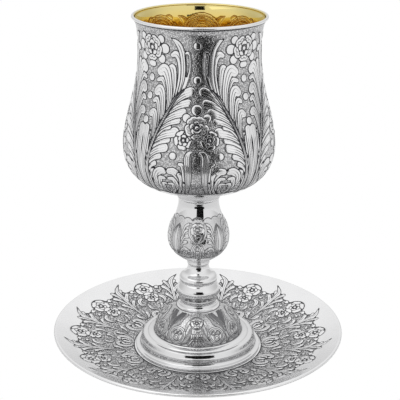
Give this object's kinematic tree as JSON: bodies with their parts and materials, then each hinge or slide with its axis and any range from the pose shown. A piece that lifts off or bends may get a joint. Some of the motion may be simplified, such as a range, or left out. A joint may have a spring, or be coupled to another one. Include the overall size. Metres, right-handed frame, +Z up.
{
  "type": "kiddush cup",
  "caption": "Chased silver wine goblet with a tulip bowl, gilt inside, on a turned baluster stem and domed foot, standing in its matching dished saucer.",
  "frame": {"origin": "on the axis of the cup, at the flat underside of the saucer, level with the table", "axes": "+Z up the axis of the cup; -Y towards the front column of pearls, which stands two degrees towards -X"},
  "size_m": [0.14, 0.1399, 0.1626],
  "materials": {
    "chased_silver": "silver with chased leaves and flowers over a matted ground, darkened in the recesses",
    "polished_silver": "plain silver, mirror polished",
    "gilt": "gold wash inside the bowl, showing the reverse of the chasing"
  },
  "bodies": {
    "root": {"saucer": "chased_silver", "foot": "chased_silver", "stem": "polished_silver", "knop": "chased_silver", "bowl": "chased_silver"}
  },
  "joints": []
}
